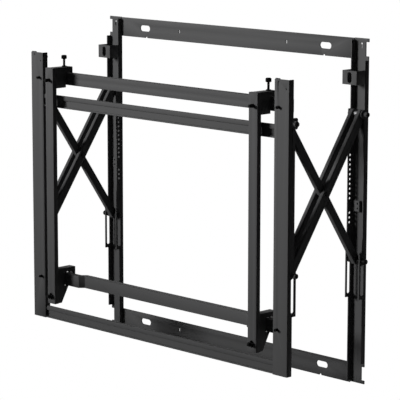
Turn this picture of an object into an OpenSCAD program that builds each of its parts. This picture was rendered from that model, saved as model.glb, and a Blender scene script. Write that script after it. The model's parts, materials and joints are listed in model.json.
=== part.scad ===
// Pull-out wall mount for one screen of a video wall.
// A wall frame of two plates and two upright channels carries a pair of scissor arms. The arms
// push a front frame straight out from the wall, and two display brackets hang on its bars.
// X runs across the wall, Y points into the wall, Z is up. The wall plane is Y = 0, and the
// origin is the middle of the four wall slots.

/* [Wall frame] */
// Overall width of the wall frame
frame_w = 650; // [560:5:800]
// Width of each upright channel, wall frame and front frame alike
rail_w = 32.4; // [30:0.2:44]
// Depth of the wall channels from the wall plane
rail_depth = 10.5; // [8:0.5:14]
// Thickness of the folded steel sheet
sheet = 2; // [1.5:0.1:2.4]
// Height of the plate across the top
plate_h = 35; // [30:1:60]
// Height of the plate across the bottom
low_plate_h = 34; // [30:1:60]
// Length of the open hook notch cut into each corner of the channel web
corner_notch_h = 24; // [10:1:34]
// Depth of that notch across the web
corner_notch_w = 6.6; // [3:0.2:12]
// Solid web left between the notch and the end of the channel
corner_tip = 6; // [3:0.5:12]

/* [Wall slots] */
// Length of each wall slot
slot_len = 26; // [16:1:40]
// Height of each wall slot
slot_w = 11; // [7:0.5:14]
// Distance from a channel's inner side to the middle of the slot beside it
slot_in = 65.6; // [40:0.2:120]
// Distance from the frame's upper and lower edges to the middle of the slots
slot_up = 18; // [14:0.5:20]
// Distance from the plate's middle to each levelling slit
slit_x = 135; // [60:1:180]

/* [Scissor arms] */
// Distance between an arm's two end pivots
arm_l = 305; // [270:1:330]
// Distance that the arms hold the front pivots ahead of the rear ones
reach = 172.5; // [110:0.5:200]
// Distance from the wall plane to the rear pivots
pivot_out = 11; // [11:0.5:14]
// Depth of the twin outer bars
outer_depth = 16; // [13:0.5:17]
// Width of one outer bar
outer_w = 7.2; // [6:0.1:8]
// Width of the inner arm
inner_w = 9; // [7:0.1:10]
// Depth of the inner arm
inner_depth = 14; // [11:0.5:16]
// Diameter of the pivot bolts and slide pins
pin_d = 6.4; // [5:0.2:7]
// Diameter of their rounded heads
head_d = 9; // [8.5:0.5:12]
// Height of the outer heads
head_h = 9; // [3:0.5:12]

/* [Front frame] */
// Depth of the front channels
front_depth = 11.4; // [10:0.2:16]
// Gap between the front pivots and the back edges of the front channels
front_back_gap = 0.8; // [0.5:0.1:2]
// Height of the two pressed cross bars
cross_h = 22.6; // [20:0.2:32]
// Height of a cross bar's proud upper strip
cross_strip_h = 8; // [5:0.5:10]
// Height of its proud bottom lip
cross_lip_h = 3; // [2.5:0.5:5]
// Depth of the recess between them
cross_recess = 3; // [1:0.5:4]
// Distance from the front of the channels back to the cross bars' strips
cross_set = 2.1; // [1:0.1:2.8]

/* [Hanging bars] */
// Height of the tube that forms each hanging bar
bar_h = 22; // [18:0.5:26]
// Depth of that tube
bar_t = 11.9; // [10:0.1:14]
// Wall of that tube
bar_wall = 2; // [1.5:0.1:2.5]
// Gap between the channels' back edges and the straight bar
bar_gap = 8.8; // [8.2:0.1:12]
// Distance that the lower bar's ends step forward
joggle = 8.3; // [4:0.1:8.5]
// Distance from a channel's inner side to the start of that step
joggle_in = 74; // [60:1:120]
// Diameter of the depth studs
stud_d = 5.2; // [5:0.2:7]
// Distance that a depth stud stands out of the front channel
stud_out = 6; // [3:0.5:10]
// Travel of the hanging bars on the depth studs
depth_travel = 6; // [2:0.5:6]

/* [Display brackets] */
// Distance between the upper and lower display screws
screw_pitch = 400; // [300:100:600]
// Width of a display bracket
bracket_w = 20.4; // [18:0.2:26]
// Depth of the bracket's folded sides
bracket_depth = 8.8; // [6:0.2:12]
// Gap between a bracket's sides and the front channels
bracket_gap = 5.8; // [3:0.1:8]
// Distance from a channel's inner side to the middle of the bracket beside it
bracket_in = 34.6; // [30:0.2:60]
// Distance from the bracket's lower end to the lower display screw
screw_low = 14.1; // [10:0.1:20]
// Distance from the upper display screw to the bracket's upper end
screw_top = 21.8; // [16:0.1:30]
// Diameter of the display screws
screw_d = 5.8; // [4:0.2:8]
// Distance that a display screw stands out of its bracket
screw_out = 10.3; // [6:0.1:20]
// Distance that a bracket can be lowered from its place in the photograph
lift_down = 2; // [1:0.5:3]
// Distance that it can be raised from there
lift_up = 0.5; // [0.5:0.5:1.5]
// Diameter of a thumb screw's knurled head
thumb_d = 10; // [8:0.5:14]
// Diameter of a thumb screw's threaded shank
thumb_shank_d = 4.6; // [4:0.2:6]
// Diameter of the star-shaped lock nut across its points
star_d = 12.6; // [10:0.2:16]

/* [Heights] */
// Height from the wall frame's lower edge to the front frame's
front_base = 46.7; // [38:0.1:80]
// Height from the front frame's lower edge to the display brackets'
bracket_base = 34.4; // [30:0.1:60]
// Height from the brackets' upper ends to the front frame's
front_over = 24.2; // [15:0.1:60]
// Height from the front frame's upper end to the wall frame's
frame_over = 54.8; // [44:0.1:90]
// Drop from the brackets' upper ends to the top of the upper hanging bar
bar_drop = 10.7; // [10:0.1:16]
// Rise from the brackets' lower ends to the underside of the lower hanging bar
bar_rise = 32.3; // [28:0.1:50]
// Drop from the underside of the upper hanging bar to the upper pivots
pivot_drop = 15.5; // [11:0.1:40]
// Drop from the underside of the upper hanging bar to the top of the upper cross bar
cross_drop = 18.4; // [8:0.1:50]

/* [Hidden] */
$fn = 48;

// Finishes
powder = [0.13, 0.13, 0.135];
zinc = [0.3, 0.3, 0.31];
nylon = [0.06, 0.06, 0.06];

// Clearances
run_gap = 0.05;     // radial gap of a pin in a bore that it turns in
slide_gap = 0.3;    // gap on each side of a pin in a slot, and of a loose pivot
thin_gap = 0.3;     // gap between flat pieces that move past each other
past = 1;           // overlap of a cutter past the face that it cuts

// Heights, all measured from the wall frame's middle
bracket_h = screw_low + screw_pitch + screw_top;
front_h = bracket_base + bracket_h + front_over;
frame_h = front_base + front_h + frame_over;
frame_z0 = -frame_h / 2;
frame_z1 = frame_h / 2;
front_z0 = frame_z0 + front_base;
front_z1 = front_z0 + front_h;
bracket_z0 = front_z0 + bracket_base;
bracket_z1 = bracket_z0 + bracket_h;
screw_z = [bracket_z0 + screw_low, bracket_z0 + screw_low + screw_pitch];
top_bar_z = bracket_z1 - bar_drop - bar_h / 2;
low_bar_z = bracket_z0 + bar_rise + bar_h / 2;
pivot_z = top_bar_z - bar_h / 2 - pivot_drop;
cross_top_z = top_bar_z - bar_h / 2 - cross_drop - cross_h;
latch_drop = 9.7;           // from the front channel's upper end down to the latch stud
latch_z = front_z1 - latch_drop;

// Places across the wall
side_x = frame_w / 2;
inner_x = side_x - rail_w;
rail_x = side_x - rail_w / 2;
slot_x = inner_x - slot_in;
bracket_x = inner_x - bracket_in;
stud_in = 6.5;              // the depth studs sit inward of the channel's middle by this
stud_x = rail_x - stud_in;
bar_end = stud_x + 3.9;     // half the length of the hanging bars

// Scissor geometry, open as at rest and shut as at the end of the fold
lean = asin(reach / arm_l);
shut_lean = 5.15;
rear_y = -pivot_out;
front_y = -pivot_out - reach;
low_z = pivot_z - arm_l * cos(lean);
shut_low_z = pivot_z - arm_l * cos(shut_lean);

// Places away from the wall
front_back = front_y - front_back_gap;
front_face = front_back - front_depth;
bar_front = front_back + bar_gap;
bar_back = bar_front + bar_t;
bracket_back = front_face - bracket_gap;
bracket_face = bracket_back - bracket_depth;
hook_back = bar_back + sheet + 0.6;
cross_back = front_y - head_d / 2 - thin_gap;    // clear of the pivot bolts' inner heads

// Wall channels and plates
wall_end = 3;               // the inner wall stops short of the channel's ends by this
outer_wall_end = corner_tip + corner_notch_h + 6.8;
ear_r = 8;                  // radius of the ears round the rear pivots
deep_out = 5;               // the perforated strip stands this far in front of the pivots
plate_top = frame_z1 - 0.6;  // the upper plate ends just below the channels' ends
low_plate_drop = 2;         // and the lower plate reaches below them
top_hole_d = 3.6;           // keyhole near each channel's upper end
top_hole_drop = 9.2;
top_slot_w = 1.8;
top_slot_h = 8;             // from the keyhole's round part down to its lower end
slit_w = 2.4;
slit_h = 6;
nick_d = 5;                 // nick in the lower edge of each plate, beside its slots
nick_in = 3.5;

// Guide slots
slide_slot_w = pin_d + 2 * slide_gap;
loop_bar = 3.6;             // width of the bar that closes a guide slot
rear_slot_spare = 4.4;      // room left under the rear pins when the arms are shut
front_slot_spare = 7.7;
rear_loop_z0 = shut_low_z - rear_slot_spare - slide_slot_w / 2 - 6.2;
rear_loop_z1 = low_z + slide_slot_w / 2 + 10.7;
front_loop_bar = 4.6;
front_loop_z0 = shut_low_z - front_slot_spare - slide_slot_w / 2 - 6.3;
front_loop_z1 = low_z + slide_slot_w / 2 + 3.4;
front_ear_h = 19;           // height of the ears on the front channels
front_ear_out = 9.8;        // their reach behind the front pivots
front_ear_r = 3.5;

// Row of spring holes in the inner walls, and the tab that stands beside its blank places
row_count = 15;
row_pitch = 8.3;
row_hole_d = 4.2;
row_drop = 71.7;            // from the upper pivot down to the first hole of the right row
row_shift_left = 7.8;       // the left row sits this much higher
row_skip = [10, 11];
row_out = 10.4;             // distance of the row from the wall plane
tab_w = 13.4;
tab_in = 7;                 // distance of the tab from the channel's inner side
tab_out = 5;                // the tab's plate stands this far off the wall plane
tab_margin = 5.3;           // plate above and below its two holes
tab_hole_d = 3;

// Arms and their pins
arm_gap = 0.5;              // gap on each side of the inner arm
arm_sheet = 2;
outer_gap = inner_w + 2 * arm_gap;
outer_span = outer_gap + 2 * outer_w;
spacer_d = 10;
inner_head_h = 1.6;
centre_head_h = 1.4;

// Latch
latch_h = 23.6;
latch_out = 31.8;           // distance of the strap's face from the wall plane
latch_slot_h = 18;
latch_slot_w = 9.2;
latch_stud_back = 12.2;     // reach of the stud behind the front channel
latch_stud_d = 6;
latch_tip_d = 8.2;
latch_tip_h = 3;

// Small features of the front channels
nub_in = 14.5;
nub_w = 9.5;
nub_h = 1.5;
rail_hole_d = 2.6;
rail_hole_deep = 1.2;       // these two stop inside the sheet

// Depth studs and the step of the lower bar
joggle_run = 8;
step_shift = 4;             // both steps sit this far to the right of their even places
step_x0 = inner_x - joggle_in - joggle_run;
step_x1 = inner_x - joggle_in;
nut_h = 4;
nut_d = 8.4;
collar_gap = 0.2;
collar_h = 1.5;
collar_d = 9;
key_d = 3;                  // hexagon socket in the front of each depth stud
key_deep = 2;

// Display brackets
hook_w = bracket_w - 2 * sheet;
cheek_h = 37.2;             // height of the upper hook's cheeks in front of its bar
cheek_gap = 1.8;            // gap between the cheeks' notch and the bar
roof_clear = lift_down + 0.8;   // gap between the upper bar and the notch roof
notch_over = lift_down + 0.5;   // gaps over and under the lower bar in its notch
notch_under = lift_up + 0.3;
low_box_rise = 10.1;        // the lower box ends this far above the lower bar
jaw_y = hook_back - 13.9;   // tip of the jaw under the lower bar
low_hook_back = hook_back + 2.4;
low_strip = 4.4;            // width of the cheeks' strips behind the lower bar
jaw_run = 17.4;             // the jaw's edge slants forward by this on the way down
collar_screw_d = screw_d + 0.6;     // the screws' plain collar, which the lock nut goes round
screw_head_d = 10;
screw_head_h = 3;
star_h = 3.5;
star_waist = 0.6;
foot_t = 2;
foot_w = 10.6;
foot_lip = 4;
foot_lip_t = 1;
thumb_y = bar_front + 1.3;
thumb_neck = 13.9;          // from the bracket's upper end up to the thumb screw's head
thumb_head_h = 7.3;
knurls = 24;
knurl_deep = 0.6;
press_nut_d = 8.4;
press_nut_h = 2;

function mid(a, b) = (a + b) / 2;

// Outline in the YZ plane, extruded across X from x0 to x1
module across(x0, x1) {
    translate([x0, 0, 0]) rotate([90, 0, 90]) linear_extrude(x1 - x0) children();
}

// Outline in the XZ plane, extruded along Y from y0 to y1
module along(y0, y1) {
    translate([0, y1, 0]) rotate([90, 0, 0]) linear_extrude(y1 - y0) children();
}

// Rectangle from one corner to the other
module corners(a, b) {
    translate(a) square(b - a);
}

// Box from one corner to the other
module block(a, b) {
    translate(a) cube(b - a);
}

// Round-ended slot outline, its length along X
module slot_shape(len, width) {
    square([len - width, width], center = true);
    for (s = [-1, 1]) translate([s * (len - width) / 2, 0]) circle(d = width);
}

// Cylinder along X from x0 to x1
module rod_x(x0, x1, d) {
    translate([x0, 0, 0]) rotate([0, 90, 0]) cylinder(h = x1 - x0, d = d);
}

// Cylinder along Y from y0 to y1
module rod_y(y0, y1, d) {
    translate([0, y1, 0]) rotate([90, 0, 0]) cylinder(h = y1 - y0, d = d);
}

// The left side is the right side mirrored
module on_side(side) {
    if (side < 0) mirror([1, 0, 0]) children();
    else children();
}

// Wall frame

module wall_plate(z0, z1) {
    slot_z = z0 < 0 ? frame_z0 + slot_up : frame_z1 - slot_up;
    color(powder) difference() {
        block([-inner_x, -sheet, z0], [inner_x, 0, z1]);
        for (s = [-1, 1]) {
            translate([s * slot_x, 0, slot_z]) rotate([90, 0, 0])
                translate([0, 0, -past]) linear_extrude(sheet + 2 * past)
                    slot_shape(slot_len, slot_w);
            translate([s * slit_x, 0, slot_z])
                cube([slit_w, 2 * sheet + past, slit_h], center = true);
            rod_at(s * (slot_x - nick_in), z0, nick_d);
        }
    }
}

// Round cutter along Y through the wall plates and channel webs
module rod_at(x, z, d) {
    translate([x, 0, z]) rod_y(-sheet - past, past, d);
}

// Slot in the YZ plane that a slide pin runs up and down in
module guide_slot(y, spare) {
    z0 = shut_low_z - spare;
    translate([y, mid(z0, low_z)]) rotate(90)
        slot_shape(low_z - z0 + slide_slot_w, slide_slot_w);
}

// Loop of sheet round the rear guide slot
module rear_loop() {
    corners([rear_y - slide_slot_w / 2 - loop_bar, rear_loop_z0], [-sheet / 2, rear_loop_z1]);
}

module wall_inner_profile(shift) {
    difference() {
        union() {
            corners([-rail_depth, frame_z0 + wall_end], [-sheet / 2, frame_z1 - wall_end]);
            corners([rear_y - deep_out, rear_loop_z1], [-sheet / 2, pivot_z + ear_r]);
            rear_loop();
        }
        guide_slot(rear_y, rear_slot_spare);
        translate([rear_y, pivot_z]) circle(d = pin_d + 2 * run_gap);
        for (i = [0 : row_count - 1]) if (len(search(i, row_skip)) == 0)
            translate([-row_out, pivot_z - row_drop + shift - i * row_pitch]) circle(d = row_hole_d);
    }
}

module wall_outer_profile() {
    difference() {
        union() {
            corners([-rail_depth, frame_z0 + outer_wall_end], [-sheet / 2, frame_z1 - outer_wall_end]);
            corners([rear_y, pivot_z - ear_r], [-sheet / 2, pivot_z + ear_r]);
            translate([rear_y, pivot_z]) circle(r = ear_r);
            rear_loop();
        }
        guide_slot(rear_y, rear_slot_spare);
        translate([rear_y, pivot_z]) circle(d = pin_d + 2 * run_gap);
    }
}

module wall_rail(side) {
    shift = side < 0 ? row_shift_left : 0;
    color(powder) on_side(side) {
        difference() {
            block([inner_x, -sheet, frame_z0], [side_x, 0, frame_z1]);
            for (z0 = [frame_z0 + corner_tip, frame_z1 - corner_tip - corner_notch_h])
                block([side_x - corner_notch_w, -sheet - past, z0],
                    [side_x + past, past, z0 + corner_notch_h]);
            rod_at(rail_x, frame_z1 - top_hole_drop, top_hole_d);
            block([rail_x - top_slot_w / 2, -sheet - past, frame_z1 - top_hole_drop - top_slot_h],
                [rail_x + top_slot_w / 2, past, frame_z1 - top_hole_drop]);
        }
        across(inner_x, inner_x + sheet) wall_inner_profile(shift);
        across(side_x - sheet, side_x) wall_outer_profile();
    }
}

module latch_strap(side) {
    z0 = latch_z - latch_h / 2;
    z1 = latch_z + latch_h / 2;
    color(powder) on_side(side) {
        difference() {
            block([inner_x, -latch_out, z0], [side_x, sheet - latch_out, z1]);
            translate([rail_x, 0, latch_z]) along(-latch_out - past, sheet - latch_out + past)
                rotate(90) slot_shape(latch_slot_h, latch_slot_w);
        }
        for (x = [inner_x, side_x - sheet])
            block([x, -latch_out, z0], [x + sheet, -rail_depth, z1]);
    }
}

module anchor_tab(side) {
    shift = side < 0 ? row_shift_left : 0;
    z1 = pivot_z - row_drop + shift - row_skip[0] * row_pitch;
    z0 = z1 - row_pitch;
    x0 = inner_x + tab_in;
    color(powder) on_side(side) {
        difference() {
            block([x0, -sheet - tab_out, z0 - tab_margin],
                [x0 + tab_w, -tab_out, z1 + tab_margin]);
            for (z = [z0, z1]) translate([rail_x, 0, z])
                rod_y(-sheet - tab_out - past, past - tab_out, tab_hole_d);
        }
        for (x = [x0, x0 + tab_w - sheet])
            block([x, -tab_out - sheet, z0 - tab_margin], [x + sheet, -sheet, z1 + tab_margin]);
    }
}

// Pivots

// Low domed head, its flat side at the origin and its crown along +X
module head(h) {
    rotate([0, 90, 0]) {
        cylinder(h = h / 2, d = head_d);
        translate([0, 0, h / 2]) cylinder(h = h / 2, d1 = head_d, d2 = 0.7 * head_d);
    }
}

// Bolt across a channel: shank, low inner head and tall outer head
module channel_bolt(gap) {
    rod_x(inner_x - gap - inner_head_h / 2, side_x + gap + head_h / 2, pin_d);
    translate([side_x + gap, 0, 0]) head(head_h);
    translate([inner_x - gap, 0, 0]) mirror([1, 0, 0]) head(inner_head_h);
}

module pivot_bolt_pair(y) {
    color(zinc) for (side = [-1, 1]) on_side(side) translate([0, y, pivot_z]) channel_bolt(0);
}

module slide_pin(side, y) {
    color(zinc) on_side(side) translate([0, y, low_z]) channel_bolt(thin_gap);
}

// Arms

// Folded bar from the upper pivot at the origin down to the lower one, web to the front
module arm_bar(x0, width, depth, bores) {
    difference() {
        across(x0, x0 + width) bar_outline(depth / 2);
        across(x0 + arm_sheet, x0 + width - arm_sheet) {
            bar_outline(depth / 2 - arm_sheet);
            corners([0, -arm_l], [depth, 0]);
        }
        for (i = [0 : 2]) translate([0, 0, -i * arm_l / 2]) rod_x(x0 - past, x0 + width + past, bores[i]);
    }
}

module bar_outline(r) {
    corners([-r, -arm_l], [r, 0]);
    for (z = [-arm_l, 0]) translate([0, z]) circle(r = r);
}

// The outer arm leans forward as it goes down, the inner arm backward
module as_outer(side) {
    on_side(side) translate([0, rear_y, pivot_z]) rotate([-lean, 0, 0]) children();
}

module as_inner(side) {
    on_side(side) translate([0, front_y, pivot_z]) rotate([lean, 0, 0]) children();
}

module outer_arm(side) {
    bore = pin_d + 2 * run_gap;
    color(powder) as_outer(side) for (x0 = [rail_x - outer_span / 2, rail_x + outer_span / 2 - outer_w])
        arm_bar(x0, outer_w, outer_depth, [bore, pin_d, pin_d]);
}

module outer_spacers(side) {
    color(zinc) as_outer(side) for (z = [0, -arm_l]) translate([0, 0, z]) difference() {
        rod_x(rail_x - outer_gap / 2, rail_x + outer_gap / 2, spacer_d);
        rod_x(rail_x - outer_gap, rail_x + outer_gap, pin_d + (z == 0 ? 2 * run_gap : 0));
    }
}

module center_pivot(side) {
    color(zinc) as_outer(side) translate([0, 0, -arm_l / 2]) {
        rod_x(rail_x - outer_span / 2 - centre_head_h / 2, rail_x + outer_span / 2 + centre_head_h / 2,
            pin_d);
        translate([rail_x + outer_span / 2, 0, 0]) head(centre_head_h);
        translate([rail_x - outer_span / 2, 0, 0]) mirror([1, 0, 0]) head(centre_head_h);
    }
}

module inner_arm(side) {
    // The left upper pivot is the loose one
    top_gap = side < 0 ? slide_gap : run_gap;
    color(powder) as_inner(side) arm_bar(rail_x - inner_w / 2, inner_w, inner_depth,
        [pin_d + 2 * top_gap, pin_d + 2 * run_gap, pin_d]);
}

module inner_spacers(side) {
    top_gap = side < 0 ? slide_gap : run_gap;
    color(zinc) as_inner(side) for (z = [0, -arm_l], s = [-1, 1]) translate([rail_x, 0, z])
        scale([s, 1, 1]) difference() {
            rod_x(inner_w / 2, rail_w / 2 - sheet - thin_gap, spacer_d);
            rod_x(0, rail_w / 2, pin_d + (z == 0 ? 2 * top_gap : 0));
        }
}

// Front frame

module front_wall_profile() {
    difference() {
        union() {
            corners([front_face, front_z0], [front_back, front_z1]);
            corners([front_back - past, front_loop_z0],
                [front_y + slide_slot_w / 2 + front_loop_bar, front_loop_z1]);
            corners([front_back - past, front_loop_z1 - past],
                [front_y + slide_slot_w / 2, pivot_z]);
            front_ear();
        }
        guide_slot(front_y, front_slot_spare);
        translate([front_y, pivot_z]) circle(d = pin_d + 2 * run_gap);
    }
}

// Ear with two rounded corners behind the channel
module front_ear() {
    h = front_ear_h / 2;
    r = front_ear_r;
    corners([front_back - past, pivot_z - h], [front_y + front_ear_out - r, pivot_z + h]);
    corners([front_back, pivot_z - h + r], [front_y + front_ear_out, pivot_z + h - r]);
    for (s = [-1, 1]) translate([front_y + front_ear_out - r, pivot_z + s * (h - r)]) circle(r = r);
}

module front_rail(side) {
    // The small holes and the nub lie the same way on both channels, so they aren't mirrored
    color(powder) difference() {
        union() {
            on_side(side) {
                block([inner_x, front_face, front_z0], [side_x, front_face + sheet, front_z1]);
                for (x = [inner_x, side_x - sheet]) across(x, x + sheet) front_wall_profile();
            }
            translate([side * rail_x - nub_in, front_face, front_z1 - past])
                cube([nub_w, sheet, nub_h + past]);
        }
        for (hole = [[-7, 4], [10, 15.2]]) translate([side * rail_x + hole[0], 0, front_z1 - hole[1]])
            rod_y(front_face - past, front_face + rail_hole_deep, rail_hole_d);
        for (z = [top_bar_z, low_bar_z]) translate([side * stud_x, 0, z])
            rod_y(front_face - past, front_face + sheet + past, stud_d + 2 * run_gap);
    }
}

// Pressed cross bar: a proud strip above, a proud lip below and a recess between them
module cross_bar(z0) {
    y0 = front_face + cross_set;
    y1 = y0 + cross_recess;
    z1 = z0 + cross_h;
    shelf_z = z1 - cross_strip_h;
    color(powder) across(-inner_x, inner_x) {
        corners([y0, shelf_z], [y0 + sheet, z1]);
        corners([y0, shelf_z], [y1 + sheet, shelf_z + sheet]);
        corners([y1, z0], [y1 + sheet, shelf_z + sheet]);
        corners([y0, z0], [y1 + sheet, z0 + cross_lip_h]);
        corners([y0, z1 - sheet], [cross_back, z1]);
        corners([y1, z0], [cross_back, z0 + sheet]);
    }
}

module latch_studs() {
    y1 = front_back + latch_stud_back;
    color(zinc) for (side = [-1, 1]) on_side(side) translate([rail_x, 0, latch_z]) {
        rod_y(front_face + sheet, y1 - latch_tip_h, latch_stud_d);
        translate([0, y1 - latch_tip_h, 0]) rotate([-90, 0, 0])
            cylinder(h = latch_tip_h, d1 = latch_tip_d, d2 = latch_stud_d);
    }
}

// Hanging bars

// Edge of the lower bar in plan, set back by h from its middle line
function step_line(h, shift) =
    let (k = h * tan(atan(joggle / joggle_run) / 2) + shift, y = mid(bar_front, bar_back) + h)
    [[step_x0 + k, y], [step_x1 + k, y - joggle], [bar_end, y - joggle]];

function flip(points) = [for (i = [len(points) - 1 : -1 : 0]) [-points[i][0], points[i][1]]];

function both_sides(h) = concat(flip(step_line(h, -step_shift)), step_line(h, step_shift));

function backwards(points) = [for (i = [len(points) - 1 : -1 : 0]) points[i]];

module step_plan(half) {
    polygon(concat(both_sides(half), backwards(both_sides(-half))));
}

module nut_holes(z, y) {
    for (s = [-1, 1]) translate([s * stud_x, 0, z])
        rod_y(y - past, y + bar_wall + past, stud_d + 2 * slide_gap);
}

module hanging_bar_top() {
    h = bar_h / 2;
    color(powder) difference() {
        block([-bar_end, bar_front, top_bar_z - h], [bar_end, bar_back, top_bar_z + h]);
        block([-bar_end - past, bar_front + bar_wall, top_bar_z - h + bar_wall],
            [bar_end + past, bar_back - bar_wall, top_bar_z + h - bar_wall]);
        nut_holes(top_bar_z, bar_front);
    }
}

module hanging_bar_bottom() {
    color(powder) translate([0, 0, low_bar_z]) difference() {
        translate([0, 0, -bar_h / 2]) linear_extrude(bar_h) step_plan(bar_t / 2);
        translate([0, 0, bar_wall - bar_h / 2]) linear_extrude(bar_h - 2 * bar_wall)
            step_plan(bar_t / 2 - bar_wall);
        for (s = [-1, 1]) block([s * bar_end - past, bar_front - joggle + bar_wall, bar_wall - bar_h / 2],
            [s * bar_end + past, bar_back - joggle - bar_wall, bar_h / 2 - bar_wall]);
        nut_holes(0, bar_front - joggle);
    }
}

module depth_nuts() {
    color(zinc) for (s = [-1, 1], row = [[top_bar_z, 0], [low_bar_z, joggle]])
        translate([s * stud_x, bar_front + bar_wall - row[1], row[0]]) difference() {
            rotate([-90, 30, 0]) cylinder(h = nut_h, d = nut_d, $fn = 6);
            rod_y(-past, nut_h + past, stud_d + 2 * run_gap);
        }
}

module depth_stud(side, z, step) {
    // One millimetre of thread stays in the nut at the end of the bars' travel
    tip = min(bar_front + bar_wall + depth_travel + 1, bar_back - bar_wall - 1) - step;
    collar_y = front_face + sheet + collar_gap;
    color(zinc) on_side(side) translate([stud_x, 0, z]) difference() {
        union() {
            rod_y(front_face - stud_out, tip, stud_d);
            rod_y(collar_y, collar_y + collar_h, collar_d);
        }
        translate([0, front_face - stud_out - past, 0]) rotate([-90, 0, 0])
            cylinder(h = key_deep + past, d = key_d, $fn = 6);
    }
}

// Display brackets

module display_channel(side) {
    h = bracket_w / 2;
    color(powder) translate([side * bracket_x, 0, 0]) difference() {
        block([-h, bracket_face, bracket_z0], [h, bracket_back, bracket_z1]);
        block([sheet - h, bracket_face + sheet, bracket_z0 - past],
            [h - sheet, bracket_back + past, bracket_z1 + past]);
        for (z = screw_z) translate([0, 0, z])
            rod_y(bracket_face - past, bracket_face + sheet + past, collar_screw_d);
    }
}

// The two cheeks of a hook, from an outline in the YZ plane
module cheeks() {
    for (x = [-hook_w / 2, hook_w / 2 - sheet]) across(x, x + sheet) children();
}

module top_hook(side) {
    y0 = bracket_face + sheet;
    roof_z = top_bar_z + bar_h / 2 + roof_clear;
    color(powder) translate([side * bracket_x, 0, 0]) {
        cheeks() {
            corners([y0, bracket_z1 - cheek_h], [bar_front - cheek_gap, bracket_z1]);
            corners([y0, roof_z], [hook_back, bracket_z1]);
        }
        block([-hook_w / 2, hook_back - sheet, top_bar_z - bar_h / 2],
            [hook_w / 2, hook_back, bracket_z1]);
        difference() {
            block([-hook_w / 2, y0, bracket_z1 - sheet], [hook_w / 2, hook_back, bracket_z1]);
            translate([0, thumb_y, bracket_z1 - sheet - past])
                cylinder(h = sheet + 2 * past, d = thumb_shank_d + 2 * run_gap);
        }
    }
}

module lower_hook(side) {
    y0 = bracket_face + sheet;
    notch_y = bar_front - joggle - cheek_gap / 2;
    strip_y = low_hook_back - low_strip;
    notch_z0 = low_bar_z - bar_h / 2 - notch_under;
    notch_z1 = low_bar_z + bar_h / 2 + notch_over;
    top_z = low_bar_z + bar_h / 2 + low_box_rise;
    color(powder) translate([side * bracket_x, 0, 0]) {
        cheeks() polygon([[y0, bracket_z0], [jaw_y - jaw_run, bracket_z0], [jaw_y, notch_z0],
            [notch_y, notch_z0], [notch_y, notch_z1], [strip_y, notch_z1], [strip_y, low_bar_z],
            [low_hook_back, low_bar_z], [low_hook_back, top_z], [y0, top_z]]);
        block([-hook_w / 2, low_hook_back - sheet, low_bar_z], [hook_w / 2, low_hook_back, top_z]);
        block([-hook_w / 2, y0, top_z - sheet], [hook_w / 2, low_hook_back, top_z]);
    }
}

module press_nut(side) {
    color(zinc) translate([side * bracket_x, thumb_y, bracket_z1]) difference() {
        cylinder(h = press_nut_h, d = press_nut_d);
        translate([0, 0, -past]) cylinder(h = press_nut_h + 2 * past, d = thumb_shank_d + 2 * run_gap);
    }
}

module display_screws(side) {
    color(zinc) for (z = screw_z) translate([side * bracket_x, 0, z]) {
        rod_y(bracket_face - screw_out, bracket_face, screw_d);
        rod_y(bracket_face - thin_gap - star_h - collar_gap, bracket_face + sheet + screw_head_h / 2,
            collar_screw_d);
        rod_y(bracket_face + sheet, bracket_face + sheet + screw_head_h, screw_head_d);
    }
}

// Outline with teeth that reach from radius r0 out to radius r1
function toothed(teeth, r0, r1) = [for (i = [0 : 2 * teeth - 1])
    (i % 2 == 0 ? r1 : r0) * [sin(i * 180 / teeth), cos(i * 180 / teeth)]];

module lock_nut(side) {
    y1 = bracket_face - thin_gap;
    color(zinc) translate([side * bracket_x, 0, screw_z[0]]) difference() {
        along(y1 - star_h, y1) polygon(toothed(5, star_waist * star_d / 2, star_d / 2));
        rod_y(y1 - star_h - past, y1 + past, collar_screw_d + 2 * run_gap);
    }
}

module thumb_screw(side) {
    foot_z = top_bar_z + bar_h / 2 + foot_t;
    head_z = bracket_z1 + thumb_neck;
    color(zinc) translate([side * bracket_x, thumb_y, 0]) {
        translate([0, 0, foot_z]) cylinder(h = head_z - foot_z + past, d = thumb_shank_d);
        translate([0, 0, head_z]) linear_extrude(thumb_head_h)
            polygon(toothed(knurls, thumb_d / 2 - knurl_deep, thumb_d / 2));
    }
}

module screw_foot(side) {
    z0 = top_bar_z + bar_h / 2;
    y0 = bar_front - thin_gap;
    color(nylon) translate([side * bracket_x, 0, 0]) {
        block([-foot_w / 2, y0 - foot_lip_t, z0], [foot_w / 2, bar_back - 1, z0 + foot_t]);
        block([-foot_w / 2, y0 - foot_lip_t, z0 - foot_lip], [foot_w / 2, y0, z0 + foot_t]);
    }
}

wall_plate(plate_top - plate_h, plate_top);  // wall_plate_top
wall_plate(frame_z0 - low_plate_drop,  // wall_plate_bottom
    frame_z0 + low_plate_h);
wall_rail(-1);  // wall_rail_left
wall_rail(1);  // wall_rail_right
latch_strap(-1);  // latch_strap_left
latch_strap(1);  // latch_strap_right
anchor_tab(-1);  // anchor_tab_left
anchor_tab(1);  // anchor_tab_right
pivot_bolt_pair(rear_y);  // rear_pivot_bolts
outer_arm(-1);  // outer_arm_left
outer_arm(1);  // outer_arm_right
outer_spacers(-1);  // outer_spacers_left
outer_spacers(1);  // outer_spacers_right
center_pivot(-1);  // center_pivot_left
center_pivot(1);  // center_pivot_right
slide_pin(-1, front_y);  // front_slide_pin_left
slide_pin(1, front_y);  // front_slide_pin_right
inner_arm(-1);  // inner_arm_left
inner_arm(1);  // inner_arm_right
inner_spacers(-1);  // inner_spacers_left
inner_spacers(1);  // inner_spacers_right
slide_pin(-1, rear_y);  // rear_slide_pin_left
slide_pin(1, rear_y);  // rear_slide_pin_right
front_rail(-1);  // front_rail_left
front_rail(1);  // front_rail_right
cross_bar(cross_top_z);  // cross_bar_top
cross_bar(front_z0);  // cross_bar_bottom
pivot_bolt_pair(front_y);  // front_pivot_bolts
latch_studs();
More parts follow.
